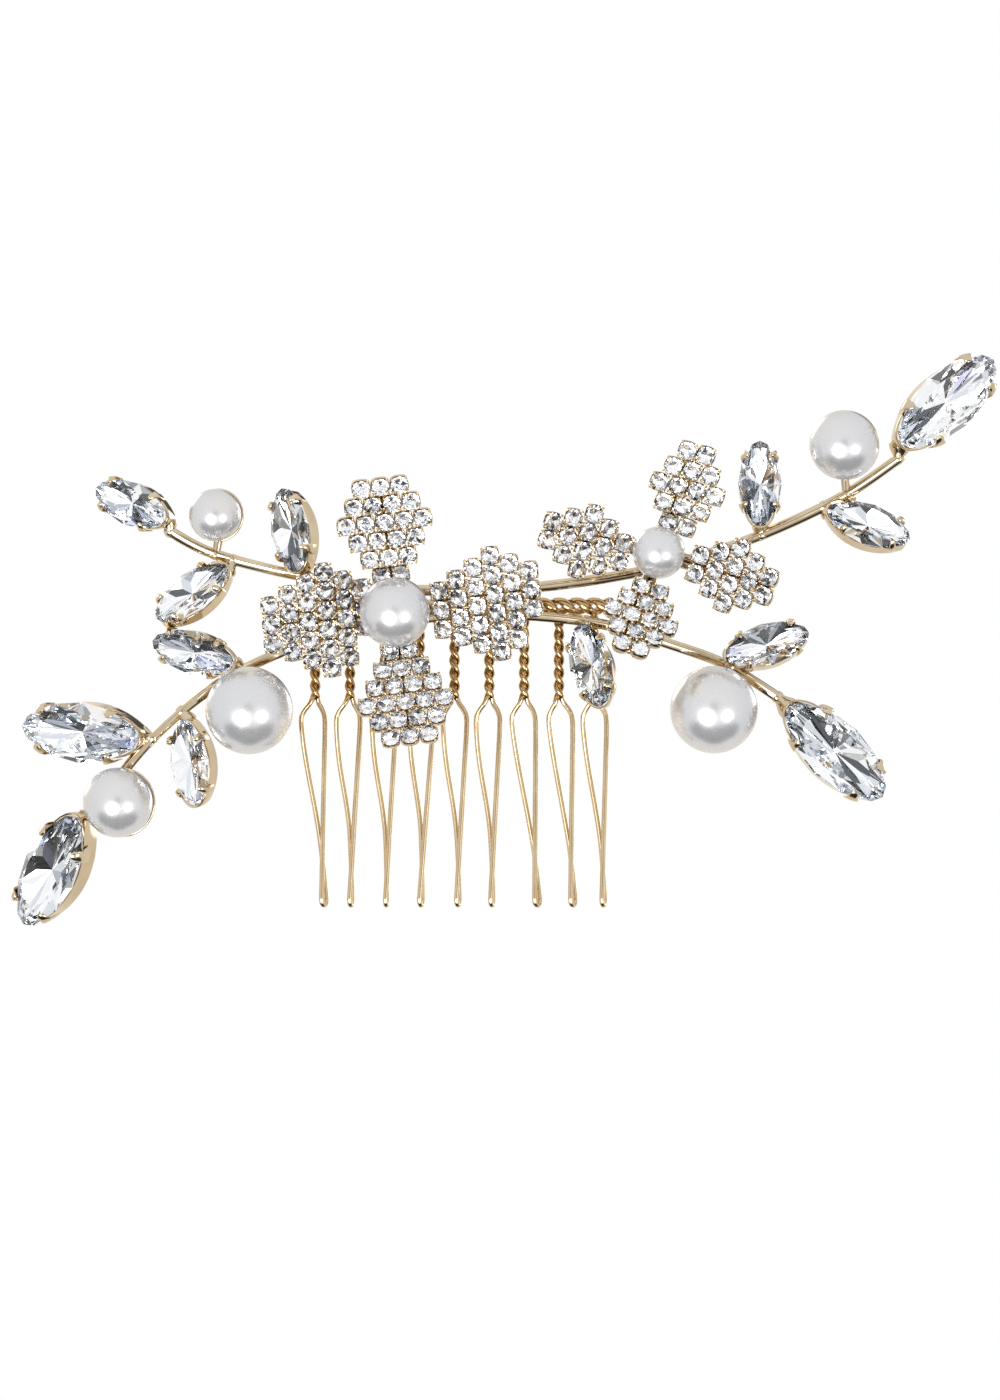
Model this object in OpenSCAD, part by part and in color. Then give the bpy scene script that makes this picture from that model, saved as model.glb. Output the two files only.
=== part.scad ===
// Decorative hair comb: two gold stems carry crystal leaves, pearls and two
// flowers of small set stones, and are bound to the front of a wire comb.
// Millimetres. +X is to the right, +Z is up and the front faces -Y.
// The origin is the middle of the comb's spine.

/* [Comb] */
// Number of hairpin teeth
tooth_count = 9; // [5:1:9]
// Distance between neighbouring teeth
tooth_pitch = 3.98; // [3.8:0.01:4.4]
// Diameter of the wire that the teeth are bent from
tooth_wire_d = 0.6; // [0.5:0.05:0.65]
// Height from the spine down to the tip of a tooth
tooth_length = 34.5; // [30:0.5:45]
// Height from the spine down to the end of the twisted part of a tooth
twist_length = 10.5; // [8:0.5:12]
// Diameter of each of the two wires twisted into the spine
spine_wire_d = 0.85; // [0.7:0.05:1]

/* [Stems] */
// Diameter of the two stems
stem_d = 1.2; // [1:0.05:1.4]
// How far a stem curves back towards the head at 60 mm from the middle
stem_bow = 4; // [0:0.5:6]

/* [Leaves] */
// Length of a small leaf crystal
small_leaf_l = 10; // [9:0.1:10.5]
// Width of a small leaf crystal
small_leaf_w = 5; // [4:0.1:5]
// Length of a large leaf crystal
large_leaf_l = 15; // [14:0.1:15.5]
// Width of a large leaf crystal
large_leaf_w = 7; // [6:0.1:7]
// Thickness of a leaf setting's wall
setting_wall = 0.25; // [0.2:0.05:0.35]

/* [Pearls] */
// Diameter of a small pearl
small_pearl_d = 6; // [5.5:0.1:6.2]
// Diameter of a medium pearl
medium_pearl_d = 8; // [7.5:0.1:8.2]
// Diameter of a large pearl
large_pearl_d = 10; // [9:0.1:10.2]

/* [Flowers] */
// Diameter of a petal's round stones
stone_d = 1.9; // [1.6:0.05:1.95]
// Distance between two stones in a row
stone_pitch = 2.2; // [2.15:0.01:2.3]
// Distance between two rows of stones
row_step = 2.15; // [2.1:0.01:2.3]

/* [Hidden] */
gold = [0.83, 0.68, 0.42];
pale_gold = [0.87, 0.76, 0.55];
crystal_clear = [0.86, 0.9, 0.95];
pearl_white = [0.95, 0.95, 0.95];

stem_r = stem_d / 2;
tooth_wire_r = tooth_wire_d / 2;
spine_wire_r = spine_wire_d / 2;
// Room between the two wires of a tooth's twist, so that they only just miss,
// and between those of the spine, which stand open like a chain
twist_gap = 0.08;
spine_gap = 0.6;
spine_helix_r = spine_wire_r + spine_gap / 2;
spine_r = spine_helix_r + spine_wire_r;
spine_overhang = 1.6;
spine_l = (tooth_count - 1) * tooth_pitch + 2 * spine_overhang;
tooth_helix_r = tooth_wire_r + twist_gap / 2;
tooth_turns = 3.25;
// Rings to a turn of a twisted wire
turn_steps = 8;

// A tooth's loop: how far its two legs stand from its twist at their widest,
// how far below the twist that is, and how far the back leg is behind the front
loop_left = 1.65;
loop_right = 1.15;
loop_drop = 2.7;
leg_depth = 0.36;
tip_h = 1;
// How far each tip lies to the right of its twist, and how far apart its two
// legs still are there, tooth by tooth
tip_drift = [1, 0.1, 0.15, 0.15, 0.4, 0.3, 1.5, 1.6, 1.1];
tip_split = [0.55, 0.3, 0.15, 0.35, 0.35, 0.3, 0.6, 0.55, 0.35];
// How far each loop is bent to the right, tooth by tooth
loop_shift = [0, 0.05, 0.15, 0.45, 0.3, 0.1, 0.2, 0.45, 0.35];
// The front leg runs straight down. The back leg comes in behind it: share of
// the way down, x in a tooth whose tip has no drift, and the share of the drift
// that is added.
leg_shares = [0.22, 0.52, 0.72];
back_leg_run = [[0.22, -1.3, 0.25], [0.52, -0.3, 0.4], [0.72, 0, 0.7]];

// The stems lie side by side against the front of the spine
stem_front_y = -(spine_r + stem_r);
stem_steps = 4;
upper_stem_route = [
    [-32.7, 8.7], [-28.4, 6.3], [-22.2, 4.5], [-15, 3], [-7, 2], [2, 1.8],
    [10.5, 2.3], [21, 3.9], [30, 6.3], [38, 9.4], [45, 12.9], [50.9, 17]
];
lower_stem_route = [
    [-42, -24.7], [-39.6, -21.4], [-36.6, -17.3], [-32.5, -13.1], [-27.8, -9.4],
    [-22.9, -6.6], [-17.5, -4.4], [-11, -2.6], [-3, -1.3], [4, -0.9], [10.7, -1.2],
    [17.7, -2.2], [24.2, -4.2], [30.3, -6.3], [33.8, -8.3], [37.1, -10.5]
];

// How far a leaf's girdle is in front of its stem, and how far behind the girdle
// its foot starts, as shares of its width
leaf_lift_share = 0.3;
foot_share = 0.3;
// Leaves: x and z of the middle, the angle that the tip points to, how far the
// face leans to the left of that, how far the tip drops back, x and z of the
// foot on the stem, and whether it is a large leaf
LEAVES = [
    [-36.9, 11.7, 158, 5, 28, -32.5, 8.6, false],
    [-30, 1.5, 215, -25, 3, -25.6, 5.4, false],
    [-18.7, 8.7, 108, 28, 15, -18.2, 3.4, false],
    [-29.8, -5.3, 165, 5, 14, -24.6, -7.5, false],
    [-42.7, -14.4, 176, 5, 26, -34.9, -15.4, true],
    [-30.2, -17.8, 278, -28, 0, -31.3, -12.1, false],
    [-46.2, -30.2, 233, -22, 26, -42, -24.6, true],
    [34.9, 14, 90, 0, 12, 35.2, 8.3, false],
    [47.3, 9.3, -19, 20, 3, 42.8, 11.7, false],
    [56.3, 23.4, 41, -5, 16, 50.8, 16.9, true],
    [35.7, -4.4, 17, 10, 3, 30.6, -6.5, false],
    [43.5, -16.6, -44, 5, 2, 37, -10.5, true],
    [15.6, -6.7, -74, -8, -14, 14.4, -1.7, false]
];
LARGE = 7;

// Shape of a leaf, as shares of its width: the radius of its two round ends,
// crown and pavilion heights, and how far the setting's wall reaches down. The
// table and the culet are shares of the outline.
end_share = 0.22;
crown_share = 0.2;
pavilion_share = 0.36;
setting_share = 0.44;
table_share = 0.62;
culet_share = 0.08;
ledge_share = 0.8;
ledge_share_of_depth = 0.35;
girdle_h = 0.15;
// Straight edges to a long side and to a round end: on a crystal, on a wall
crystal_edges = [4, 2];
wall_edges = [12, 6];
// Room between a leaf crystal and its setting
crystal_gap = 0.03;
// Claws: their diameter and that of their tips, how far both stand outside
// the crystal's edge, how high they rise, and how far along the leaf they are
claw_d = 0.6;
claw_tip_d = 0.75;
claw_out = 0.34;
claw_tip_out = 0.1;
claw_rise = 0.6;
claw_share = 0.31;
foot_d = 0.9;
foot_out = 0.1;
solder_bite = 0.1;

// Pearls: x and z of the middle, diameter, how far the cup turns to the left
// and upwards, x and z of the foot on the stem
PEARLS = [
    [-27.3, 10.4, small_pearl_d, 14, 0, -27.1, 5.8],
    [-6.8, -0.7, medium_pearl_d, 0, 0, -6.8, -0.7],
    [-23.4, -11.9, large_pearl_d, 4, 0, -25.4, -8],
    [-38.4, -22.4, medium_pearl_d, 16, 0, -39.9, -21.8],
    [23.3, 6.1, small_pearl_d, 0, 12, 23.3, 6.1],
    [44.5, 18.4, medium_pearl_d, 0, 0, 44.6, 12.7],
    [29.6, -11.8, large_pearl_d, 0, 0, 31.2, -6.8]
];
MAIN_PEARL = PEARLS[1];
SMALL_PEARL = PEARLS[4];
cup_wall = 0.3;
cup_gap = 0.04;
// Half the angle that a cup spans: one on a stem, and one on a flower
stem_cup_angle = 66;
flower_cup_angle = 34;
peg_r = 0.45;
peg_hole_r = 0.48;
peg_share = 0.25;
hub_r = 2.2;
hub_t = 0.4;
hub_post_r = 0.7;

// Petals: rows of stones from the hub outwards, each with its count and how
// many pitches it is shifted sideways
WIDE_IN = [[3, -0.5], [5, 0], [6, 0], [5, 0], [4, 0], [3, 0]];
WIDE_OUT = [[3, 0], [4, 0], [5, 0], [6, 0], [5, 0], [3, 0.5]];
LONG = [[2, 0], [3, 0], [4, 0], [5, 0], [4, 0], [3, 0]];
SMALL = [[2, 0], [3, 0], [4, 0], [3, 0], [2, 0]];
// Each petal: rows, angle that it points to, tilt towards the front, distance
// from the hub's middle to its first row, and how far it is set to its left
MAIN_PETALS = [
    [WIDE_IN, 185, 4, 3.5, 0.2], [WIDE_OUT, 7, 12, 5.6, -0.4],
    [LONG, 97, 20, 4.9, -0.1], [LONG, -83, 26, 5.5, 0]
];
SMALL_PETALS = [
    [SMALL, 163, 8, 4.25, 1.2], [SMALL, -18, 18, 5.25, 0.1],
    [SMALL, 75, 8, 3.8, -1.25], [SMALL, -109, 38, 6.2, 0.45]
];
LEFT = 0;
RIGHT = 1;
TOP = 2;
BOTTOM = 3;
// A petal plate, and its sockets and prongs
plate_h = 1.1;
socket_floor = 0.4;
socket_gap = 0.02;
prong_d = 0.44;
prong_h = 1.5;
prong_spread = 0.94;
row_overlap = 0.02;
cup_corner_r = 0.5;
arm_w = 1.4;
arm_h = 0.5;
arm_start = 1;
stone_girdle_z = 1.1;
stone_girdle_h = 0.1;
stone_crown_h = 0.35;
stone_table_share = 0.6;
stone_point_r = 0.1;

// Binding wire: its two windings, each with its place along the spine and how
// low and how high it reaches, then their turns and the slack at front and back
binding_wire_r = 0.2;
BINDINGS = [[-13.5, -4.5, 3.9], [5, -1.9, 2.9]];
binding_turns = 5;
binding_pitch = 0.5;
binding_slack = 0.7;
binding_steps = 12;

// ---- Curves ----

// One point between b and c on the smooth curve through a, b, c and d
function curve_point(a, b, c, d, t) =
    0.5 * (2 * b + (c - a) * t + (2 * a - 5 * b + 4 * c - d) * t * t
        + (3 * b - a - 3 * c + d) * t * t * t);

// A smooth curve through the points, with the given steps between two of them
function smooth(points, steps) =
    let (last = len(points) - 1)
    concat(
        [for (i = [0:last - 1], s = [0:steps - 1])
            curve_point(points[max(i - 1, 0)], points[i], points[i + 1],
                points[min(i + 2, last)], s / steps)],
        [points[last]]
    );

function unit(v) = v / norm(v);

function tangent(path, i) =
    unit(path[min(i + 1, len(path) - 1)] - path[max(i - 1, 0)]);

// One ring of a wire around point i of its path
function wire_ring(path, i, r, sides, side_way) =
    let (
        along = tangent(path, i),
        out = unit(side_way - along * (side_way * along)),
        across = cross(along, out)
    )
    [for (k = [0:sides - 1])
        path[i] + r * (cos(360 * k / sides) * out + sin(360 * k / sides) * across)];

// A round wire along a path. side_way is a direction that the path never takes.
module wire(path, d, sides, side_way) {
    rings = len(path);
    points = [for (i = [0:rings - 1]) each wire_ring(path, i, d / 2, sides, side_way)];
    walls = [for (i = [0:rings - 2], k = [0:sides - 1])
        [i * sides + k, i * sides + (k + 1) % sides,
            (i + 1) * sides + (k + 1) % sides, (i + 1) * sides + k]];
    start = [[for (k = [sides - 1:-1:0]) k]];
    end = [[for (k = [0:sides - 1]) (rings - 1) * sides + k]];
    polyhedron(points, concat(walls, start, end), convexity = 10);
}

// A straight round bar from a to b
module bar(a, b, d) {
    along = b - a;
    translate(a)
        rotate([0, acos(along.z / norm(along)), atan2(along.y, along.x)])
            cylinder(h = norm(along), d = d, $fn = 32);
}

// ---- Comb ----

// One wire of a tooth's twist, from the spine down, ending at the side that
// end_angle gives
function tooth_strand(end_angle) =
    let (steps = round(tooth_turns * turn_steps), top = -spine_r)
    [for (s = [0:steps])
        let (t = s / steps, a = end_angle - 360 * tooth_turns * (1 - t))
        [tooth_helix_r * cos(a), tooth_helix_r * sin(a),
            top + t * (-twist_length - top)]];

// The top of a tooth's loop, from just under its twist to its widest place
function loop_top(x, y) = [
    [0.36 * x, 0, -twist_length - 0.24 * loop_drop],
    [0.74 * x, 0.3 * y, -twist_length - 0.52 * loop_drop],
    [0.97 * x, 0.6 * y, -twist_length - loop_drop]
];

// Height of a place on a leg, by its share of the way from the loop to the tip
function leg_z(share) =
    let (top = -twist_length - loop_drop, bottom = -tooth_length + tip_h)
    top + share * (bottom - top);

function front_leg(drift, split, shift) =
    let (tip = drift - split / 2, top = loop_right + shift)
    smooth(concat(
        loop_top(top, -leg_depth),
        [for (share = concat(leg_shares, [1]))
            [tip + (top - tip) * (1 - share), -leg_depth, leg_z(share)]]
    ), 3);

function back_leg(drift, split, shift) =
    smooth(concat(
        loop_top(shift - loop_left, leg_depth),
        [for (place = back_leg_run)
            [place[1] + place[2] * drift + shift * (1 - place[0]), leg_depth,
                leg_z(place[0])]],
        [[drift + split / 2, leg_depth, leg_z(1)]]
    ), 3);

// The bend at the tip, from the back leg to the front one
function tooth_tip(drift, split) =
    [for (a = [30:30:150])
        [drift + split / 2 * cos(a), leg_depth * cos(a),
            -tooth_length + tip_h - (tip_h - tooth_wire_r) * sin(a)]];

function backwards(path) = [for (i = [len(path) - 1:-1:0]) path[i]];

module tooth(number) {
    drift = tip_drift[number - 1];
    split = tip_split[number - 1];
    shift = loop_shift[number - 1];
    path = concat(
        tooth_strand(180),
        back_leg(drift, split, shift),
        tooth_tip(drift, split),
        backwards(front_leg(drift, split, shift)),
        backwards(tooth_strand(0))
    );
    x = (number - (tooth_count + 1) / 2) * tooth_pitch;
    color(gold)
        translate([x, 0, 0])
            wire(path, tooth_wire_d, 6, [1, 0, 0]);
}

// One wire of the spine. Each tooth starts where one of the two is at the bottom.
function spine_strand(phase) =
    let (steps = round(spine_l / tooth_pitch * turn_steps))
    [for (s = [0:steps])
        let (x = spine_l * (s / steps - 0.5), a = phase + 360 * x / tooth_pitch)
        [x, spine_helix_r * cos(a), spine_helix_r * sin(a)]];

module comb_spine() {
    color(gold)
        for (phase = [-90, 90])
            wire(spine_strand(phase), spine_wire_d, 6, [0, 1, 0]);
}

// Turns of thin wire around the spine and both stems
function winding(binding) =
    let (
        half_h = (binding[2] - binding[1]) / 2,
        half_w = (spine_r + stem_d) / 2 + 2 * binding_wire_r + binding_slack
    )
    [for (s = [0:binding_turns * binding_steps])
        let (turn = s / binding_steps)
        [binding[0] + binding_pitch * (turn - binding_turns / 2),
            -stem_r + half_w * cos(360 * turn),
            (binding[2] + binding[1]) / 2 + half_h * sin(360 * turn)]];

module binding_wire() {
    color(gold)
        for (binding = BINDINGS)
            wire(winding(binding), 2 * binding_wire_r, 6, [1, 0, 0]);
}

// ---- Stems ----

function stem_y(x) = stem_front_y + stem_bow * pow(x / 60, 2);

function stem_path(route) = [for (p = smooth(route, stem_steps)) [p.x, stem_y(p.x), p.y]];

module upper_stem() {
    color(pale_gold)
        wire(stem_path(upper_stem_route), stem_d, 10, [0, 1, 0]);
}

module lower_stem() {
    color(pale_gold)
        wire(stem_path(lower_stem_route), stem_d, 10, [0, 1, 0]);
}

// ---- Leaves ----

function leaf_l(leaf) = leaf[LARGE] ? large_leaf_l : small_leaf_l;
function leaf_w(leaf) = leaf[LARGE] ? large_leaf_w : small_leaf_w;

// A turned point: about the leaf's own width, its own length, then its normal
function turn_leaf(leaf, p) =
    let (
        angle = leaf[2], lean = leaf[3], drop = leaf[4],
        a = [p.x * cos(drop) + p.z * sin(drop), p.y, p.z * cos(drop) - p.x * sin(drop)],
        b = [a.x, a.y * cos(lean) + a.z * sin(lean), a.z * cos(lean) - a.y * sin(lean)]
    )
    [b.x * cos(angle) - b.y * sin(angle), b.x * sin(angle) + b.y * cos(angle), b.z];

// Middle of a leaf's girdle. The base stays level with the stem as the tip drops.
function leaf_middle(leaf) =
    [leaf[0],
        stem_y(leaf[5]) - leaf_lift_share * leaf_w(leaf) + sin(leaf[4]) * leaf_l(leaf) / 2,
        leaf[1]];

// A point of a leaf in the comb's frame: x along it, y across and z to the front
function leaf_point(leaf, p) =
    let (q = turn_leaf(leaf, p))
    leaf_middle(leaf) + [q.x, -q.z, q.y];

module on_leaf(leaf) {
    translate(leaf_middle(leaf))
        rotate([90, 0, 0])
            rotate([0, 0, leaf[2]])
                rotate([-leaf[3], 0, 0])
                    rotate([0, leaf[4], 0])
                        children();
}

// Radius of a leaf's two long sides, which run smoothly into its round ends
function side_radius(l, w) =
    let (end_r = end_share * w, end_x = l / 2 - end_r)
    (end_x * end_x + w * w / 4 - end_r * end_r) / (w - 2 * end_r);

// Points around a leaf, at the given distance outside its edge
function leaf_outline(l, w, out, edges) =
    let (
        end_r = end_share * w,
        end_x = l / 2 - end_r,
        side_r = side_radius(l, w),
        half = asin(end_x / (side_r - end_r)),
        side = [for (i = [0:edges[0]])
            let (a = half - 2 * half * i / edges[0])
            [(side_r + out) * sin(a), (side_r + out) * cos(a) - (side_r - w / 2)]],
        end = [for (i = [1:edges[1] - 1])
            let (a = half + (180 - 2 * half) * i / edges[1])
            [-end_x - (end_r + out) * sin(a), (end_r + out) * cos(a)]]
    )
    concat(side, end, -side, -end);

module wall_outline(l, w, out) {
    polygon(leaf_outline(l, w, out, wall_edges));
}

module crystal_slice(l, w, share, z, h) {
    translate([0, 0, z])
        linear_extrude(h)
            polygon(share * leaf_outline(l, w, 0, crystal_edges));
}

module crystal_shape(l, w) {
    thin = 0.01;
    hull() {
        crystal_slice(l, w, table_share, girdle_h + crown_share * w - thin, thin);
        crystal_slice(l, w, 1, 0, girdle_h);
        crystal_slice(l, w, culet_share, -pavilion_share * w, thin);
    }
}

module leaf_crystal(leaf) {
    color(crystal_clear)
        on_leaf(leaf)
            crystal_shape(leaf_l(leaf), leaf_w(leaf));
}

// The wall of a setting with the ledge that the crystal sits on
module setting_wall_shape(l, w) {
    depth = setting_share * w;
    ledge_z = -ledge_share_of_depth * pavilion_share * w;
    difference() {
        translate([0, 0, -depth])
            linear_extrude(depth + girdle_h)
                wall_outline(l, w, setting_wall);
        translate([0, 0, ledge_z])
            linear_extrude(depth)
                wall_outline(l, w, crystal_gap);
        translate([0, 0, -depth - 1])
            linear_extrude(depth + 2)
                scale(ledge_share)
                    wall_outline(l, w, 0);
    }
}

// One claw against the wall at x, on the side that way gives, with a round tip
// that reaches over the crystal's edge
module claw(x, way, l, w) {
    depth = setting_share * w;
    r = side_radius(l, w);
    edge_y = sqrt(r * r - x * x) - (r - w / 2);
    translate([x, way * (edge_y + claw_out), -depth])
        cylinder(h = depth + claw_rise, d = claw_d, $fn = 24);
    translate([x, way * (edge_y + claw_tip_out), claw_rise])
        sphere(d = claw_tip_d, $fn = 24);
}

module leaf_setting(leaf) {
    l = leaf_l(leaf);
    w = leaf_w(leaf);
    base = leaf_point(leaf, [-l / 2 - foot_out, 0, -foot_share * w]);
    root = [leaf[5], stem_y(leaf[5]), leaf[6]];
    color(pale_gold) {
        on_leaf(leaf) {
            setting_wall_shape(l, w);
            for (x = [-claw_share * l, claw_share * l], way = [-1, 1])
                claw(x, way, l, w);
        }
        bar(root + unit(base - root) * (stem_r - solder_bite), base, foot_d);
    }
}

// ---- Pearls ----

function on_flower(pearl) = pearl[0] == pearl[5];

// The front of a flower's hub, which lies against the front of a stem
function hub_y(pearl) = stem_y(pearl[0]) - stem_r - hub_t;

function pearl_middle(pearl) =
    let (r = pearl[2] / 2)
    [pearl[0],
        on_flower(pearl) ? hub_y(pearl) - arm_h - cup_wall - r
            : stem_y(pearl[5]) + stem_r / 2 - cup_wall - r,
        pearl[1]];

// Local z points to the front of the pearl
module on_pearl(pearl) {
    translate(pearl_middle(pearl))
        rotate([90 - pearl[4], 0, -pearl[3]])
            children();
}

module pearl_body(pearl) {
    r = pearl[2] / 2;
    color(pearl_white)
        on_pearl(pearl)
            difference() {
                sphere(r, $fn = 96);
                translate([0, 0, -r - 1])
                    cylinder(h = 1 + r * (1 - peg_share), r = peg_hole_r, $fn = 32);
            }
}

// A dish behind the pearl with the peg that the pearl is glued on
module pearl_dish(r, half_angle) {
    inner = r + cup_gap;
    outer = r + cup_gap + cup_wall;
    steps = 10;
    arc = [for (i = [0:steps]) half_angle * i / steps];
    rotate_extrude($fn = 96)
        polygon(concat(
            [for (a = arc) [outer * sin(a), -outer * cos(a)]],
            [for (a = backwards(arc)) [inner * sin(a), -inner * cos(a)]]
        ));
    translate([0, 0, -outer + cup_wall / 2])
        cylinder(h = outer - cup_wall / 2 - (peg_share + 0.05) * r, r = peg_r, $fn = 32);
}

module pearl_cup(pearl) {
    r = pearl[2] / 2;
    color(pale_gold)
        on_pearl(pearl)
            pearl_dish(r, on_flower(pearl) ? flower_cup_angle : stem_cup_angle);
    if (on_flower(pearl))
        flower_hub(pearl);
    else
        pearl_foot(pearl);
}

// The bar from behind a cup to its stem
module pearl_foot(pearl) {
    middle = pearl_middle(pearl);
    back = middle + [0, pearl[2] / 2 + cup_gap + cup_wall / 2, 0];
    root = [pearl[5], stem_y(pearl[5]), pearl[6]];
    color(pale_gold)
        bar(root + unit(back - root) * (stem_r - solder_bite), back, foot_d);
}

// The disc on the stems that a flower is built on, with the cup's post
module flower_hub(pearl) {
    middle = pearl_middle(pearl);
    color(pale_gold)
        translate([pearl[0], hub_y(pearl), pearl[1]])
            rotate([90, 0, 0]) {
                translate([0, 0, -hub_t])
                    cylinder(h = hub_t, r = hub_r, $fn = 64);
                cylinder(h = hub_y(pearl) - middle.y - pearl[2] / 2, r = hub_post_r, $fn = 32);
            }
}

module pearl_cups(d) {
    for (pearl = PEARLS)
        if (pearl[2] == d)
            pearl_cup(pearl);
}

// ---- Flowers ----

// Local x runs out along the petal, y across it and z to its front
module on_petal(pearl, petal) {
    translate([pearl[0], hub_y(pearl), pearl[1]])
        rotate([90, 0, 0])
            rotate([0, 0, petal[1]])
                rotate([0, -petal[2], 0])
                    children();
}

function row_x(petal, row) = petal[3] + row * row_step;
function row_shift(petal, row) = petal[0][row][1] * stone_pitch + petal[4];

function stone_places(petal) =
    [for (row = [0:len(petal[0]) - 1])
        let (count = petal[0][row][0])
        for (i = [0:count - 1])
            [row_x(petal, row), row_shift(petal, row) + (i - (count - 1) / 2) * stone_pitch]];

function prong_places(petal) =
    [for (row = [0:len(petal[0]) - 1])
        let (count = petal[0][row][0])
        for (i = [0:count])
            [row_x(petal, row) - row_step / 2 + prong_d / 2 + row_overlap,
                row_shift(petal, row) + (i - count / 2) * stone_pitch * prong_spread]];

// The cups of a petal's stones, which have grown together into one plate
module petal_cups(petal) {
    size = [row_step + row_overlap, stone_pitch + row_overlap];
    linear_extrude(plate_h)
        for (p = stone_places(petal))
            translate(p)
                offset(cup_corner_r, $fn = 8)
                    square([size.x - 2 * cup_corner_r, size.y - 2 * cup_corner_r],
                        center = true);
}

module petal_arm(petal) {
    translate([arm_start, -arm_w / 2, 0])
        cube([petal[3] - arm_start, arm_w, arm_h]);
}

module petal_frame(pearl, petal) {
    color(pale_gold)
        on_petal(pearl, petal)
            difference() {
                union() {
                    petal_cups(petal);
                    petal_arm(petal);
                    for (p = prong_places(petal))
                        translate([p.x, p.y, socket_floor])
                            cylinder(h = prong_h - socket_floor, d = prong_d, $fn = 16);
                }
                for (p = stone_places(petal))
                    translate([p.x, p.y, socket_floor])
                        cylinder(h = plate_h, d = stone_d + 2 * socket_gap, $fn = 24);
            }
}

module round_stone() {
    r = stone_d / 2;
    top_z = stone_girdle_z + stone_girdle_h;
    rotate_extrude($fn = 24)
        polygon([
            [0, socket_floor], [stone_point_r, socket_floor], [r, stone_girdle_z], [r, top_z],
            [stone_table_share * r, top_z + stone_crown_h], [0, top_z + stone_crown_h]
        ]);
}

module flower_stones(pearl, petals) {
    color(crystal_clear)
        for (petal = petals)
            on_petal(pearl, petal)
                for (p = stone_places(petal))
                    translate([p.x, p.y, 0])
                        round_stone();
}

upper_stem();
lower_stem();
comb_spine();
binding_wire();
for (i = [1:tooth_count])
    tooth(i);
for (i = [1:len(LEAVES)])
    leaf_crystal(LEAVES[i - 1]);
for (i = [1:len(LEAVES)])
    leaf_setting(LEAVES[i - 1]);
for (i = [1:len(PEARLS)])
    pearl_body(PEARLS[i - 1]);
pearl_cups(small_pearl_d);  // small_pearl_cups
pearl_cups(medium_pearl_d);  // medium_pearl_cups
pearl_cups(large_pearl_d);  // large_pearl_cups
petal_frame(MAIN_PEARL, MAIN_PETALS[LEFT]);  // main_petal_left
petal_frame(MAIN_PEARL, MAIN_PETALS[RIGHT]);  // main_petal_right
petal_frame(MAIN_PEARL, MAIN_PETALS[TOP]);  // main_petal_top
petal_frame(MAIN_PEARL, MAIN_PETALS[BOTTOM]);  // main_petal_bottom
petal_frame(SMALL_PEARL, SMALL_PETALS[LEFT]);  // small_petal_left
petal_frame(SMALL_PEARL, SMALL_PETALS[RIGHT]);  // small_petal_right
petal_frame(SMALL_PEARL, SMALL_PETALS[TOP]);  // small_petal_top
petal_frame(SMALL_PEARL, SMALL_PETALS[BOTTOM]);  // small_petal_bottom
flower_stones(MAIN_PEARL, MAIN_PETALS);  // main_flower_stones
flower_stones(SMALL_PEARL, SMALL_PETALS);  // small_flower_stones
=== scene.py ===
"""Looks of a decorative hair comb: plated wires, crystal leaves, pearls and two
flowers of claw-set stones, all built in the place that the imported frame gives."""

import math
import random

import bmesh
import bpy
import numpy as np
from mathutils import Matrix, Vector, noise


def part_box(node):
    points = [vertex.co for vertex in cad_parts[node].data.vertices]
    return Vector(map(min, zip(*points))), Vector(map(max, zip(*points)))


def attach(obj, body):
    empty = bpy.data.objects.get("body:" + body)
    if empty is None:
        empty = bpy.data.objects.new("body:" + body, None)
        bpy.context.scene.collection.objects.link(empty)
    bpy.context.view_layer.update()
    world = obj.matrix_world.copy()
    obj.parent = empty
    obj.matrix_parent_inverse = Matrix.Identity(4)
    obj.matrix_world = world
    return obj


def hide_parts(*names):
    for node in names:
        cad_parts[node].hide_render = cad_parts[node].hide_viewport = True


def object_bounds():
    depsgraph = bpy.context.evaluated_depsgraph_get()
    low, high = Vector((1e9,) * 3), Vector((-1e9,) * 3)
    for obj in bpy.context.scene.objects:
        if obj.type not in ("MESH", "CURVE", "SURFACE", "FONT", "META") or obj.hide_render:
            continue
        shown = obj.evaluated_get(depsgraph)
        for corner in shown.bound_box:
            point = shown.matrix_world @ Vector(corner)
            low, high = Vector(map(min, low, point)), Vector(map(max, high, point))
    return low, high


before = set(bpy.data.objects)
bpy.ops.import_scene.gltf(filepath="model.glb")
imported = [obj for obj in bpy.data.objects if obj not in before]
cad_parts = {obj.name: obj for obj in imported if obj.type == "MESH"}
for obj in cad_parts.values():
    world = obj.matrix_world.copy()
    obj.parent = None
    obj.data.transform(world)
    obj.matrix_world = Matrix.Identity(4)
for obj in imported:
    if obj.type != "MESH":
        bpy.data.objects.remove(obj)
cad_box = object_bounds()
random.seed(7)

MM = 0.001
TEETH = 9
LEAVES = 13
PEARLS = 7
# Numbers of the pearls in the middle of the two flowers
MAIN_FLOWER = 2
SMALL_FLOWER = 5
STEM_R = 0.6 * MM
X_AXIS = np.array([1.0, 0.0, 0.0])
Z_AXIS = np.array([0.0, 0.0, 1.0])
FRONT = np.array([0.0, -1.0, 0.0])


# ---- Vectors and curves ----

def unit(v):
    """v, or each row of v, at length 1."""
    v = np.asarray(v, float)
    return v / np.linalg.norm(v, axis=-1, keepdims=True)


def ease(t):
    """0 to 1 with a soft start and end."""
    t = np.clip(t, 0, 1)
    return t * t * (3 - 2 * t)


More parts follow.
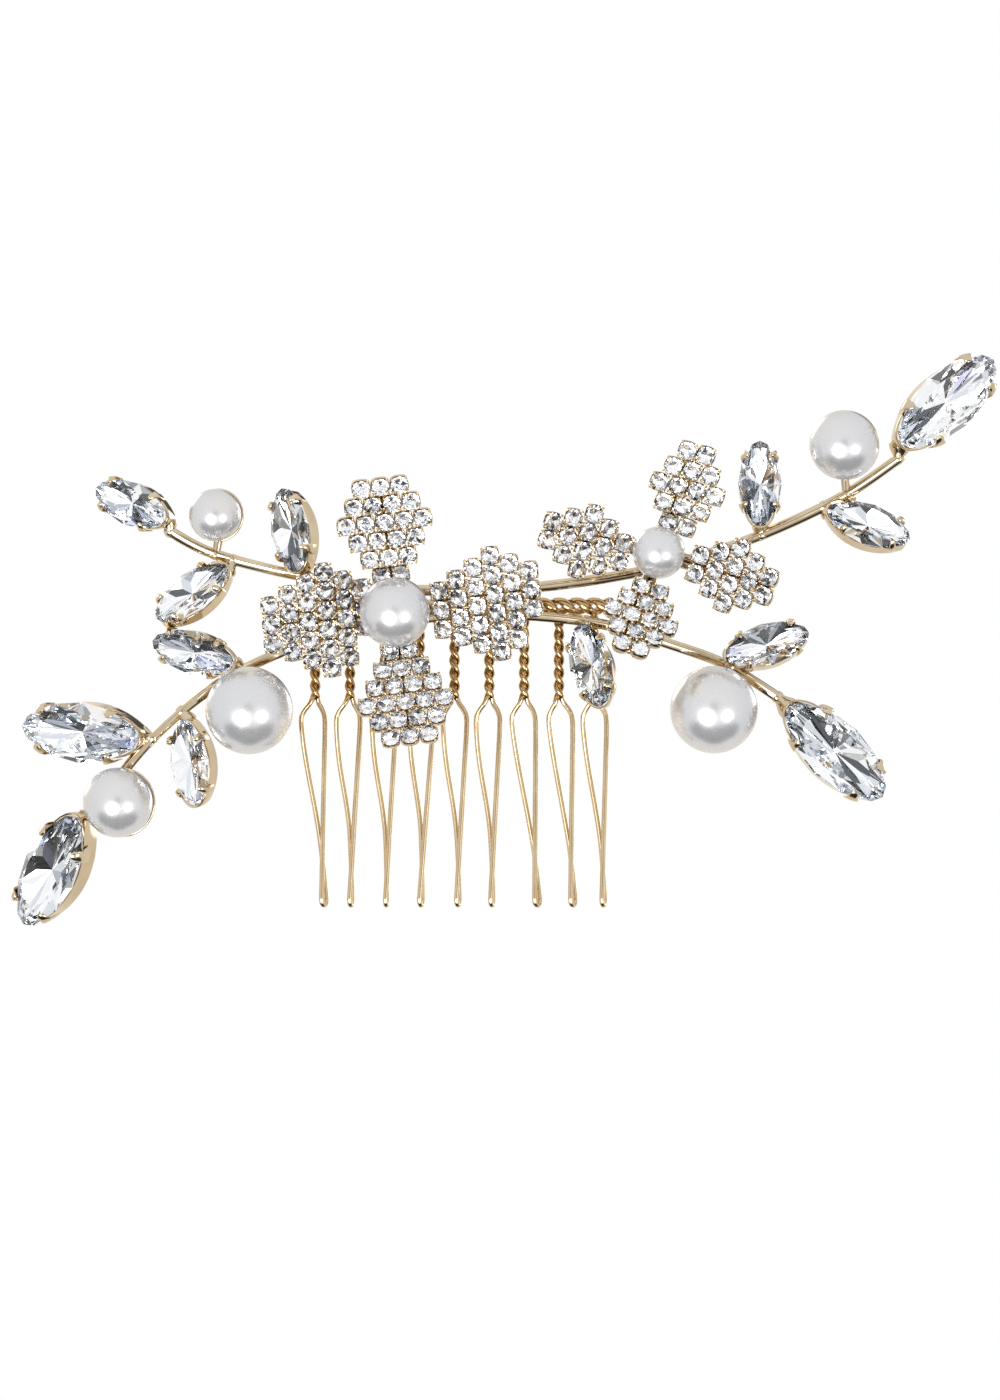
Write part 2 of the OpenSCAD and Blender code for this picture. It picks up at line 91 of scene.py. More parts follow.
def smooth(points, steps):
    """A smooth curve through the points, with the given steps between two of them."""
    points = np.asarray(points, float)
    ends = np.vstack([points[:1], points, points[-1:]])
    curve = []
    for a, b, c, d in zip(ends[:-3], ends[1:-2], ends[2:-1], ends[3:]):
        for t in np.arange(steps) / steps:
            curve.append(0.5 * (2 * b + (c - a) * t + (2 * a - 5 * b + 4 * c - d) * t ** 2
                                + (3 * b - a - 3 * c + d) * t ** 3))
    return np.array(curve + [points[-1]])


def level_ups(path):
    """A direction across each point of a path, turning as little as it can."""
    along = unit(np.gradient(path, axis=0))
    up = Z_AXIS if abs(along[0][2]) < 0.9 else X_AXIS
    ups = []
    for way in along:
        up = unit(up - way * (up @ way))
        ups.append(up)
    return np.array(ups)


class Place:
    """A local frame: its origin, its x along, its y across and its z to the front."""

    def __init__(self, origin, x, z):
        self.origin = np.asarray(origin, float)
        z = unit(z)
        x = unit(x - z * (x @ z))
        self.axes = np.array([x, np.cross(z, x), z])

    def out(self, points):
        """Local points in the row frame."""
        return self.origin + np.asarray(points, float) @ self.axes

    def into(self, points):
        """Points of the row frame in local terms."""
        return (np.asarray(points, float) - self.origin) @ self.axes.T


# ---- Shapes: each gives (points, faces) ----

def circle_point(turn, radius):
    """Points on a circle. A turn of 1 is once round."""
    angle = 2 * math.pi * np.asarray(turn)
    return radius * np.column_stack([np.cos(angle), np.sin(angle)])


def circle(sides, radius=1.0):
    """A ring of evenly spaced points."""
    return circle_point(np.arange(sides) / sides, radius)


def rounded_square(half, power, sides=20):
    """A ring between a circle (power 2) and a square (a high power)."""
    ring = circle(sides)
    size = (np.abs(ring) ** power).sum(axis=1) ** (1 / power)
    return half * ring / size[:, None]


def turned(angle):
    """A matrix that turns rows of 2-D points."""
    return np.array([[math.cos(angle), math.sin(angle)], [-math.sin(angle), math.cos(angle)]])


def loft(rings, closed=False):
    """A skin over rings of points. A closed one joins its last ring to its first."""
    count, sides, _ = rings.shape
    faces = []
    for i in range(count if closed else count - 1):
        here, there = i * sides, (i + 1) % count * sides
        for j in range(sides):
            k = (j + 1) % sides
            faces.append((here + j, here + k, there + k, there + j))
    if not closed:
        faces.append(tuple(reversed(range(sides))))
        faces.append(tuple(range((count - 1) * sides, count * sides)))
    return rings.reshape(-1, 3), faces


def sweep(path, rings, ups):
    """rings, one (sides, 2) outline for all or one for each point, along a path."""
    path = np.asarray(path, float)
    along = unit(np.gradient(path, axis=0))
    ups = unit(ups - along * np.sum(ups * along, axis=1, keepdims=True))
    sides = np.cross(ups, along)
    rings = np.broadcast_to(rings, (len(path),) + np.shape(rings)[-2:])
    return loft(path[:, None] + rings[..., :1] * sides[:, None] + rings[..., 1:] * ups[:, None])


def tube(path, radius, sides=12, round_ends=False):
    """A round wire. radius is one number, or one for each point of the path."""
    path = np.asarray(path, float)
    radii = np.broadcast_to(radius, len(path)).astype(float)
    if round_ends:
        caps = []
        for end, way, r in ((path[0], path[0] - path[1], radii[0]),
                            (path[-1], path[-1] - path[-2], radii[-1])):
            angles = np.radians([35, 62, 82])
            caps.append((end + unit(way) * r * np.sin(angles)[:, None], r * np.cos(angles)))
        path = np.vstack([caps[0][0][::-1], path, caps[1][0]])
        radii = np.concatenate([caps[0][1][::-1], radii, caps[1][1]])
    return sweep(path, radii[:, None, None] * circle(sides), level_ups(path))


def lathe(profile, place, sides=48):
    """A turned shape: profile is (radius, height) points from one end to the other."""
    rings = [np.column_stack([circle(sides, max(r, 1e-6)), np.full(sides, h)])
             for r, h in profile]
    return loft(np.array([place.out(ring) for ring in rings]))


def blob(place, size, rough=0.06, sides=14):
    """A lump of solder: an ellipsoid with an uneven skin."""
    rings = []
    for angle in np.radians(np.linspace(-88, 88, 9)):
        ring = np.column_stack([circle(sides, math.cos(angle)), np.full(sides, math.sin(angle))])
        rings.append(ring)
    rings = np.array(rings)
    wobble = [[1 + rough * noise.noise(Vector(p * 1.7 + place.origin * 900)) for p in ring]
              for ring in rings]
    return loft(np.array([place.out(ring * size) for ring in rings * np.array(wobble)[..., None]]))


# ---- Pieces ----

class Piece:
    """One visible piece, made of one or more closed shapes."""

    def __init__(self, name, *materials):
        self.name = name
        self.materials = materials
        self.points, self.faces, self.finishes, self.tones = [], [], [], []
        self.count = 0

    def add(self, shape, finish=0, tones=None):
        """Takes a shape with the number of its material, and a tone for each face, which the foils
        show as a painted reflection.
        """
        points, faces = shape
        self.points.append(points)
        self.faces += [tuple(i + self.count for i in face) for face in faces]
        self.finishes += [finish] * len(faces) if np.isscalar(finish) else list(finish)
        self.tones += [1.0] * len(faces) if tones is None else list(tones)
        self.count += len(points)

    def done(self, slot, *replaced, crease=38):
        """Makes the object. Edges sharper than crease degrees stay sharp."""
        mesh = bpy.data.meshes.new(self.name)
        mesh.from_pydata(np.vstack(self.points).tolist(), [], self.faces)
        for material in self.materials:
            mesh.materials.append(material)
        mesh.polygons.foreach_set("material_index", self.finishes)
        # Each face's tone, which the foils show as a painted reflection
        mesh.attributes.new("tone", "FLOAT", "FACE").data.foreach_set("value", self.tones)
        work = bmesh.new()
        work.from_mesh(mesh)
        bmesh.ops.recalc_face_normals(work, faces=work.faces)
        work.to_mesh(mesh)
        work.free()
        mesh.polygons.foreach_set("use_smooth", [crease > 0] * len(mesh.polygons))
        if crease:
            mesh.set_sharp_from_angle(angle=math.radians(crease))
        piece = bpy.data.objects.new(self.name, mesh)
        bpy.context.scene.collection.objects.link(piece)
        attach(piece, "root")
        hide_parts(*replaced)
        return piece


# ---- What the frame says ----

def mesh_of(name):
    """Different points of a CAD node's mesh, and its edges between them."""
    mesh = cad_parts[name].data
    points = np.array([v.co for v in mesh.vertices])
    points, index = np.unique(np.round(points, 7), axis=0, return_inverse=True)
    index = index.reshape(-1)
    return points, index[np.array([e.vertices for e in mesh.edges])]


def separate_solids(name):
    """The points of each separate solid of a CAD node."""
    points, edges = mesh_of(name)
    label = np.arange(len(points))
    while True:
        lowest = label.copy()
        for a, b in (edges.T, edges.T[::-1]):
            np.minimum.at(lowest, a, label[b])
        lowest = lowest[lowest]
        if (lowest == label).all():
            return [points[label == n] for n in np.unique(label)]
        label = lowest


def section(points, edges, axis, level):
    """Where a mesh's edges pass a level on one axis."""
    a, b = points[edges[:, 0]], points[edges[:, 1]]
    cut = (a[:, axis] - level) * (b[:, axis] - level) < 0
    a, b = a[cut], b[cut]
    share = (level - a[:, axis]) / (b[:, axis] - a[:, axis])
    return a + share[:, None] * (b - a)


def middle_of(points):
    """The middle of the points' box."""
    return (points.min(axis=0) + points.max(axis=0)) / 2


def centre_line(name, stations):
    """The middle of a CAD wire that runs along X."""
    points, edges = mesh_of(name)
    low, high = points[:, 0].min(), points[:, 0].max()
    # A level nearer to an end than this would pass through the end's slanted face
    trim = 0.9 * MM
    line = np.array([middle_of(section(points, edges, 0, x))
                     for x in np.linspace(low + trim, high - trim, stations)])
    line[1:-1] = (line[:-2] + 2 * line[1:-1] + line[2:]) / 4
    start = line[0] + unit(line[0] - line[1]) * 0.5 * trim
    end = line[-1] + unit(line[-1] - line[-2]) * 0.5 * trim
    return np.vstack([start, line, end])


stem_lines = {name: centre_line(name, 60) for name in ("upper_stem", "lower_stem")}
stem_points = np.vstack([smooth(line, 6) for line in stem_lines.values()])


def leaf_place(name):
    """A leaf crystal's own frame, at its girdle with x towards the tip, and its size."""
    points, _ = mesh_of(name)
    middle = middle_of(points)
    _, ways = np.linalg.eigh(np.cov((points - points.mean(axis=0)).T))
    normal, _, length_way = ways.T
    if normal @ FRONT < 0:
        normal = -normal
    ends = points[[np.argmin(points @ length_way), np.argmax(points @ length_way)]]
    to_stem = [np.linalg.norm(stem_points - end, axis=1).min() for end in ends]
    if to_stem[0] > to_stem[1]:
        length_way = -length_way
    place = Place(middle, length_way, normal)
    local = place.into(points)
    low, high = local.min(axis=0), local.max(axis=0)
    tips = local[np.abs(local[:, 0]) > 0.49 * (high[0] - low[0])]
    place.origin = place.out([(low[0] + high[0]) / 2, (low[1] + high[1]) / 2,
                              tips[:, 2].mean()])
    return place, high[0] - low[0], high[1] - low[1]


def root_on_stem(points):
    """Where a foot with these CAD points meets a stem."""
    gaps = np.linalg.norm(points[:, None] - stem_points[None], axis=2)
    touching = points[gaps.min(axis=1) < STEM_R + 0.25 * MM]
    if not len(touching):
        touching = points[[gaps.min(axis=1).argmin()]]
    middle = touching.mean(axis=0)
    return stem_points[np.linalg.norm(stem_points - middle, axis=1).argmin()]


def pearl_place(name):
    """A pearl's frame, with z to its front and away from its drilled hole, and its radius."""
    low, high = (np.array(corner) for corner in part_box(name))
    middle, radius = (low + high) / 2, (high - low).max() / 2
    points, _ = mesh_of(name)
    hole = points[np.linalg.norm(points - middle, axis=1) < 0.9 * radius]
    return Place(middle, X_AXIS, middle - hole.mean(axis=0)), radius


def petal_place(name, pearl_middle):
    """A petal's frame: its back plane, behind the pearl, with x out along the petal."""
    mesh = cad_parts[name].data
    normals = np.array([p.normal for p in mesh.polygons])
    areas = np.array([p.area for p in mesh.polygons])
    middles = np.array([p.center for p in mesh.polygons])
    backs = normals @ FRONT < -0.5
    groups = {}
    for normal, area, middle in zip(normals[backs], areas[backs], middles[backs]):
        key = tuple(np.round(normal, 2))
        groups.setdefault(key, []).append((area, normal, middle))
    faces = max(groups.values(), key=lambda group: sum(face[0] for face in group))
    back = unit(sum(area * normal for area, normal, _ in faces))
    on_plane = faces[0][2]
    depth = back @ (on_plane - pearl_middle) / back[1]
    origin = pearl_middle + np.array([0, depth, 0])
    low, high = (np.array(corner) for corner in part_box(name))
    outwards = unit((low + high) / 2 - origin)
    sides = (np.abs(normals @ back) < 0.05) & (normals @ outwards > 0.75)
    x = unit((normals[sides] * areas[sides, None]).sum(axis=0))
    return Place(origin, x, -back)


pearl_places = {number: pearl_place(f"pearl_{number}") for number in range(1, PEARLS + 1)}
hub_places = {}
for number, prefix in ((MAIN_FLOWER, "main"), (SMALL_FLOWER, "small")):
    petal = petal_place(f"{prefix}_petal_left", pearl_places[number][0].origin)
    hub_places[number] = Place(petal.origin, X_AXIS, FRONT)


# ---- Materials ----

def new_material(name):
    """A material with its node tree and its surface shader."""
    material = bpy.data.materials.new(name)
    material.use_nodes = True
    return material, material.node_tree, material.node_tree.nodes["Principled BSDF"]


def node(tree, kind, **inputs):
    """A shader node with its unlinked inputs set. Names use _ for a space."""
    made = tree.nodes.new(kind)
    for name, value in inputs.items():
        made.inputs[name.replace("_", " ")].default_value = value
    return made


def noise_in_place(tree, scale, detail=3.0):
    """Noise over the object's own metres. scale is in lumps to a metre."""
    place = tree.nodes.new("ShaderNodeTexCoord")
    pattern = node(tree, "ShaderNodeTexNoise", Scale=scale, Detail=detail)
    tree.links.new(place.outputs["Object"], pattern.inputs["Vector"])
    return pattern.outputs["Fac"]


def ramp(tree, source, *stops, constant=False):
    """Colour or grey stops, each (position, colour), along a 0 to 1 value."""
    made = tree.nodes.new("ShaderNodeValToRGB")
    if constant:
        made.color_ramp.interpolation = "CONSTANT"
    elements = made.color_ramp.elements
    while len(elements) < len(stops):
        elements.new(0.5)
    for element, (position, colour) in zip(elements, stops):
        element.position = position
        element.color = (*colour, 1) if hasattr(colour, "__len__") else (*[colour] * 3, 1)
    tree.links.new(source, made.inputs["Fac"])
    return made.outputs["Color"]


def bump(tree, source, shader, strength, distance):
    """Gives a shader small hills where the source is bright."""
    made = node(tree, "ShaderNodeBump", Strength=strength, Distance=distance)
    tree.links.new(source, made.inputs["Height"])
    tree.links.new(made.outputs["Normal"], shader.inputs["Normal"])


def plated_metal(name, deep, pale, roughness):
    """Polished plating: patchy colour, uneven polish and a faintly wavy skin."""
    material, tree, shader = new_material(name)
    shader.inputs["Metallic"].default_value = 1
    tree.links.new(ramp(tree, noise_in_place(tree, 260), (0.3, deep), (0.68, pale)),
                   shader.inputs["Base Color"])
    tree.links.new(ramp(tree, noise_in_place(tree, 900), (0.35, roughness),
                        (0.75, 2.2 * roughness)), shader.inputs["Roughness"])
    bump(tree, noise_in_place(tree, 900, 2.0), shader, 0.15, 0.03 * MM)
    return material


def clear_crystal(name):
    """Cut glass."""
    material, tree, shader = new_material(name)
    shader.inputs["Base Color"].default_value = (0.99, 0.995, 1, 1)
    shader.inputs["Transmission Weight"].default_value = 1
    shader.inputs["IOR"].default_value = 1.45
    tree.links.new(ramp(tree, noise_in_place(tree, 700), (0.4, 0.0), (0.8, 0.02)),
                   shader.inputs["Roughness"])
    return material


def mirror_foil_painted_facets(name, *stops):
    """The mirror foil on the back of a crystal. Each facet also has its own painted tone: a
    painted reflection that stands in for the sparkle of cut glass.
    """
    material, tree, shader = new_material(name)
    shader.inputs["Metallic"].default_value = 1
    # Each face's random tone picks a flat colour: a painted reflection
    tone = tree.nodes.new("ShaderNodeAttribute")
    tone.attribute_name = "tone"
    tree.links.new(ramp(tree, tone.outputs["Fac"], *stops, constant=True),
                   shader.inputs["Base Color"])
    tree.links.new(ramp(tree, noise_in_place(tree, 800), (0.4, 0.015), (0.8, 0.05)),
                   shader.inputs["Roughness"])
    return material


def nacre(name):
    """Pearl coating: a soft white lustre with faint cool and warm clouds."""
    material, tree, shader = new_material(name)
    shader.inputs["Metallic"].default_value = 0.6
    tree.links.new(ramp(tree, noise_in_place(tree, 170), (0.35, (0.57, 0.575, 0.59)),
                        (0.55, (0.59, 0.585, 0.59)), (0.72, (0.62, 0.59, 0.55))),
                   shader.inputs["Base Color"])
    tree.links.new(ramp(tree, noise_in_place(tree, 500), (0.35, 0.25), (0.75, 0.31)),
                   shader.inputs["Roughness"])
    shader.inputs["IOR"].default_value = 1.68
    shader.inputs["Coat Weight"].default_value = 0.5
    shader.inputs["Coat Roughness"].default_value = 0.06
    shader.inputs["Coat IOR"].default_value = 1.6
    bump(tree, noise_in_place(tree, 500, 1.0), shader, 0.04, 0.05 * MM)
    return material


gold_plate = plated_metal("gold_plate", (0.56, 0.45, 0.30), (0.66, 0.55, 0.39), 0.05)
comb_wire = plated_metal("comb_wire", (0.62, 0.47, 0.28), (0.70, 0.56, 0.37), 0.05)
# The twisted wire is the comb's plating coloured deeper and darker: painted shade that stands in
# for the shade and warm inter-reflection between twisted strands
twist_wire_painted_shade = plated_metal("twist_wire_painted_shade", (0.43, 0.28, 0.13), (0.55, 0.38, 0.19), 0.06)
crystal = clear_crystal("clear_crystal")
# Foil tones: mostly dark, grey and white facets, with rare pale blue and warm ones. They are
# painted reflections and painted dispersion, the flashes and fire of cut glass
leaf_foil_painted_sparkle = mirror_foil_painted_facets("leaf_foil_painted_sparkle", (0.0, (0.12, 0.13, 0.14)), (0.12, (0.48, 0.51, 0.56)),
                        (0.24, (0.76, 0.79, 0.83)), (0.48, (0.98, 0.98, 0.98)),
                        (0.97, (0.74, 0.76, 0.96)), (0.985, (0.95, 0.85, 0.68)))
stone_foil_painted_sparkle = mirror_foil_painted_facets("stone_foil_painted_sparkle", (0.0, (0.10, 0.10, 0.11)), (0.06, (0.45, 0.47, 0.50)),
                         (0.18, (0.80, 0.81, 0.84)), (0.38, (0.98, 0.98, 0.98)))
pearl_nacre = nacre("pearl_nacre")


# ---- Comb: teeth, spine and binding ----

TOOTH_WIRE_R = 0.3 * MM
# In a twist, the wires are pressed wider and lie this far from its middle
TWIST_WIRE_R = 0.35 * MM
TWIST_R = 0.28 * MM
TWIST_TURNS = 3.25
# The twisted part of a tooth, as a share of its length
TWIST_SHARE = 10.5 / 34.5
# From the twist down to the widest place of a tooth's loop
LOOP_DROP = 2.7 * MM
# From where a leg starts its last bend to the tooth's tip
TIP_H = 1 * MM
SPINE_WIRE_R = 0.425 * MM
BINDING_WIRE_R = 0.2 * MM
BINDING_TURNS = 5


def tooth_strand(top, bottom, end_angle):
    """One of the two twisted wires around the Z axis, down to where it ends at an angle."""
    steps = round(TWIST_TURNS * 20)
    t = np.linspace(0, 1, steps + 1)
    a = end_angle - 2 * math.pi * TWIST_TURNS * (1 - t)
    return np.column_stack([TWIST_R * np.cos(a), TWIST_R * np.sin(a), top + t * (bottom - top)])


def tooth_legs(points, edges, middle, bottom, tip):
    """The front leg, which starts on the right, and the back leg, from twist to tip."""
    front, back = [], []
    loop = np.linspace(bottom - 0.15 * LOOP_DROP, bottom - 1.1 * LOOP_DROP, 9)
    straight = np.linspace(bottom - 1.3 * LOOP_DROP, tip + 0.01 * MM, 20)
    for z in np.concatenate([loop, straight]):
        around = section(points, edges, 2, z)
        if z > bottom - 2 * LOOP_DROP:
            in_front = around[:, 0] > middle
        else:
            in_front = around[:, 1] < 0
        front.append(middle_of(around[in_front]))
        back.append(middle_of(around[~in_front]))
    return smooth(front, 4), smooth(back, 4)


def hairpin_tooth(number):
    """Two wires twisted together, then opened into a sprung loop that ends in a bend."""
    points, edges = mesh_of(f"tooth_{number}")
    top, length = points[:, 2].max(), -points[:, 2].min()
    bottom, tip = -TWIST_SHARE * length, TIP_H - length
    middle = middle_of(points[points[:, 2] > bottom])[0]
    front, back = tooth_legs(points, edges, middle, bottom, tip)
    angles = np.radians(np.arange(15, 180, 15))[:, None]
    bend = ((front[-1] + back[-1]) / 2 + (back[-1] - front[-1]) / 2 * np.cos(angles)
            - (TIP_H - TOOTH_WIRE_R) * Z_AXIS * np.sin(angles))
    strands = [tooth_strand(top, bottom, turn) + [middle, 0, 0] for turn in (math.pi, 0)]
    path = np.vstack([strands[0], back, bend, front[::-1], strands[1][::-1]])
    in_twist = ease((path[:, 2] - bottom) / MM + 0.5)
    radii = TOOTH_WIRE_R + in_twist * (TWIST_WIRE_R - TOOTH_WIRE_R)
    points, faces = tube(path, radii, 12, round_ends=True)
    # Faces in the twist take the darker wire, whose colour is painted shade between the strands
    twisted = [points[face[0]][2] > bottom for face in faces]
    piece = Piece(f"hairpin_tooth_{number}", comb_wire, twist_wire_painted_shade)
    piece.add((points, faces), twisted)
    piece.done("comb_wire", f"tooth_{number}")


def twist_x(name):
    """Where a tooth's twist is on the X axis."""
    points, _ = mesh_of(name)
    return middle_of(points[points[:, 2] > TWIST_SHARE * points[:, 2].min()])[0]


def twisted_spine():
    """The top of the comb: two flattened wires twisted into an open chain."""
    low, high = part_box("comb_spine")
    pitch = (twist_x(f"tooth_{TEETH}") - twist_x("tooth_1")) / (TEETH - 1)
    helix_r = (high[2] - low[2]) / 2 - SPINE_WIRE_R
    x = np.linspace(low[0], high[0], 300)
    # The spine takes the darker wire too, with its painted shade between the strands
    piece = Piece("twisted_spine", twist_wire_painted_shade)
    for phase in (-math.pi / 2, math.pi / 2):
        a = phase + 2 * math.pi * x / pitch
        away = np.column_stack([np.zeros(len(x)), np.cos(a), np.sin(a)])
        path = np.column_stack([x, np.zeros(len(x)), np.zeros(len(x))]) + helix_r * away
        flat = circle(14) * [1.3 * SPINE_WIRE_R, 0.85 * SPINE_WIRE_R]
        piece.add(sweep(path, flat, away))
    piece.done("comb_wire", "comb_spine")


def binding_windings():
    """Thin wire wound round the spine and both stems."""
    points, _ = mesh_of("binding_wire")
    piece = Piece("binding_windings", comb_wire)
    halfway = middle_of(points)[0]
    for side in (points[points[:, 0] < halfway], points[points[:, 0] > halfway]):
        half = (side.max(axis=0) - side.min(axis=0)) / 2 - BINDING_WIRE_R
        t = np.linspace(0, 1, BINDING_TURNS * 24 + 1)
        a = 2 * math.pi * BINDING_TURNS * t
        path = middle_of(side) + half * np.column_stack([2 * t - 1, np.cos(a), np.sin(a)])
        piece.add(tube(path, BINDING_WIRE_R, 8, round_ends=True))
    piece.done("comb_wire", "binding_wire")


# ---- Stems ----

# How far the edges of the square wire are turned from level
STEM_TURN = math.radians(22)


def stem_wire(name):
    """A wire drawn almost square, with soft edges, as wavy as one bent by hand."""
    path = smooth(stem_lines[name], 3)
    square = rounded_square(0.93 * STEM_R, 3.4, 28) @ turned(STEM_TURN)
    sizes = [1 + 0.03 * noise.noise(Vector(p * 400)) for p in path]
    sizes = np.concatenate([[0.6, 0.9], sizes, [0.9, 0.6]])
    path = np.vstack([path[0] + (path[0] - path[1]) * [[0.12], [0.08]], path,
                      path[-1] + (path[-1] - path[-2]) * [[0.08], [0.12]]])
    piece = Piece(f"{name}_wire", gold_plate)
    piece.add(sweep(path, np.array(sizes)[:, None, None] * square, level_ups(path)))
    piece.done("gold_plate", name)


def stem_way(point):
    """The direction of the stem at the point of it that is nearest."""
    for line in stem_lines.values():
        gaps = np.linalg.norm(line - point, axis=1)
        if gaps.min() < 1.2 * MM:
            near = min(max(gaps.argmin(), 1), len(line) - 2)
            return unit(line[near + 1] - line[near - 1])
    return X_AXIS


def foot(piece, root, top, radius, top_radius):
    """A short cone from a stem to a setting, with a collar of solder at its root."""
    share = np.array([0, 0.15, 0.3, 0.4, 0.5, 0.6, 0.7, 0.85, 0.95, 1])
    path = root + share[:, None] * (top - root)
    radii = radius + (top_radius - radius) * ease(1.35 * share)
    radii[-2:] *= [0.95, 0.7]
    piece.add(tube(path, radii, 20))
    collar = Place(root, top - root, stem_way(root))
    piece.add(blob(collar, [0.7 * MM, 0.64 * MM, 0.85 * MM], 0.12))


# ---- Cut stones ----

# Radius of a leaf's round ends, as a share of its width
END_SHARE = 0.22


def leaf_outline(length, width, side_edges, end_edges):
    """Points around a leaf, two long sides and two round ends, and the ways out from them."""
    end_r = END_SHARE * width
    end_x = length / 2 - end_r
    side_r = side_radius(length, width)
    half = math.asin(end_x / (side_r - end_r))
    side = np.linspace(half, -half, side_edges + 1)
    end = np.linspace(-half, half - math.pi, end_edges + 1)[1:-1]
    side_ways = np.column_stack([np.sin(side), np.cos(side)])
    end_ways = np.column_stack([np.sin(end), np.cos(end)])
    ways = np.vstack([side_ways, end_ways])
    points = np.vstack([side_r * side_ways - [0, side_r - width / 2],
                        end_r * end_ways - [end_x, 0]])
    return np.vstack([points, -points]), np.vstack([ways, -ways])


def side_radius(length, width):
    """Radius of a leaf's long sides, which run smoothly into its round ends."""
    end_r = END_SHARE * width
    end_x = length / 2 - end_r
    return (end_x ** 2 + width ** 2 / 4 - end_r ** 2) / (width - 2 * end_r)


def leaf_stone(length, width, table, crown, girdle, pavilion):
    """A leaf crystal: a wide table, twelve crown facets, and a star of long facets
    behind. Heights are above and below the girdle's lower edge."""
    edge, _ = leaf_outline(length, width, 4, 2)
    count = len(edge)
    between = (edge + np.roll(edge, -1, axis=0)) / 2
    rings = [(table * edge, girdle + crown), (edge, girdle), (edge, 0),
             (0.5 * between, -0.55 * pavilion)]
    points = [np.column_stack([ring, np.full(count, z)]) for ring, z in rings]
    points = np.vstack(points + [[0, 0, -pavilion]])
    upper, lower, deep, culet = count, 2 * count, 3 * count, 4 * count
    faces = [tuple(range(count))]
    for k in range(count):
        after = (k + 1) % count
        faces.append((k, upper + k, upper + after, after))
    crown_count = len(faces)
    for k in range(count):
        after = (k + 1) % count
        faces.append((upper + k, lower + k, lower + after, upper + after))
        faces.append((lower + k, deep + k, lower + after))
        faces.append((lower + after, deep + k, culet, deep + after))
    return points, faces, crown_count


def brilliant(outline, table, crown, girdle, pavilion, culet=0.04):
    """A stone with a brilliant's facets. outline(turns, share) gives points on its
    outline, shrunk to a share. Heights are above and below the girdle's lower edge."""
    eighth = np.arange(8) / 8
    rings = [
        (outline(eighth, table), girdle + crown),
        (outline(eighth + 1 / 16, 0.5 + 0.5 * table + 0.03), girdle + 0.52 * crown),
        (outline(np.arange(16) / 16, 1), girdle),
        (outline(np.arange(16) / 16, 1), 0),
        (outline(eighth + 1 / 16, 0.52), -0.6 * pavilion),
        (outline(eighth, culet), -pavilion),
    ]
    points = np.vstack([np.column_stack([ring, np.full(len(ring), z)]) for ring, z in rings])
    top, star, upper, lower, deep, tip = 0, 8, 16, 32, 48, 56
    faces = [tuple(range(8))]
    for k in range(8):
        after, before = (k + 1) % 8, (k - 1) % 8
        edge, next_edge, last = 2 * k, 2 * k + 1, (2 * k + 2) % 16
        faces.append((top + k, star + k, top + after))
        faces.append((top + k, star + before, upper + edge, star + k))
        faces.append((star + k, upper + edge, upper + next_edge))
        faces.append((star + k, upper + next_edge, upper + last))
    crown_count = len(faces)
    for k in range(8):
        after, before = (k + 1) % 8, (k - 1) % 8
        edge, next_edge, last = 2 * k, 2 * k + 1, (2 * k + 2) % 16
        faces.append((upper + edge, lower + edge, lower + next_edge, upper + next_edge))
        faces.append((upper + next_edge, lower + next_edge, lower + last, upper + last))
        faces.append((deep + before, tip + k, deep + k, lower + edge))
        faces.append((deep + k, tip + k, tip + after))
        faces.append((deep + k, lower + next_edge, lower + edge))
        faces.append((deep + k, lower + last, lower + next_edge))
    faces.append(tuple(reversed(range(tip, tip + 8))))
    return points, faces, crown_count


def add_stone(piece, place, stone, tones):
    """A stone in two finishes: clear glass in front and foil behind, whose facets show the tones
    as painted reflections.
    """
    points, faces, crown_count = stone
    finish = [0] * crown_count + [1] * (len(faces) - crown_count)
    piece.add((place.out(points), faces), finish, tones)


# ---- Leaves ----

# Where the claws are, from the middle towards the tip, as shares of a leaf's length
TIP_CLAWS = 0.33
BASE_CLAWS = -0.27
# How deep a setting is, as a share of a leaf's width
SETTING_DEPTH = 0.44
SETTING_WALL = 0.22 * MM


def cut_leaf(number):
    """A leaf crystal in glass and foil."""
    place, length, width = leaf_place(f"leaf_crystal_{number}")
    stone = leaf_stone(length, width, table=0.66, crown=0.19 * width, girdle=0.15 * MM,
                       pavilion=0.22 * width)
    # A random tone for each facet, shown by the foil as a painted reflection
    tones = [random.random() for _ in stone[1]]
    piece = Piece(f"cut_leaf_{number}", crystal, leaf_foil_painted_sparkle)
    add_stone(piece, place, stone, tones)
    piece.done("leaf_crystal", f"leaf_crystal_{number}", crease=0)


def setting_wall(length, width, end):
    """The wall behind a crystal. It covers the edge at one end of the leaf, -1 for the
    stem's end and 1 for the tip, and stays behind it along the rest."""
    line, ways = leaf_outline(length, width, 20, 10)
    near_end = ease((end * line[:, 0] / length - 0.24) / 0.18)
    depth = SETTING_DEPTH * width
    top = 0.2 * MM * near_end - 0.07 * width * (1 - near_end)
    lip = 0.27 * MM * near_end - 0.03 * width * (1 - near_end)
    share = np.linspace(0, 1, 8)
    up = (top + depth)[:, None] * share - depth
    out = (lip + 0.02 * width)[:, None] * np.sin(share * math.pi / 2) - 0.02 * width
    ring_out = np.hstack([out, out[:, -1:] - 0.3 * SETTING_WALL, (out - SETTING_WALL)[:, ::-1]])
    ring_up = np.hstack([up, up[:, -1:] + 0.3 * SETTING_WALL, up[:, ::-1]])
    rings = line[:, None, :] + ways[:, None, :] * ring_out[..., None]
    return loft(np.dstack([rings, ring_up[..., None]]), closed=True)


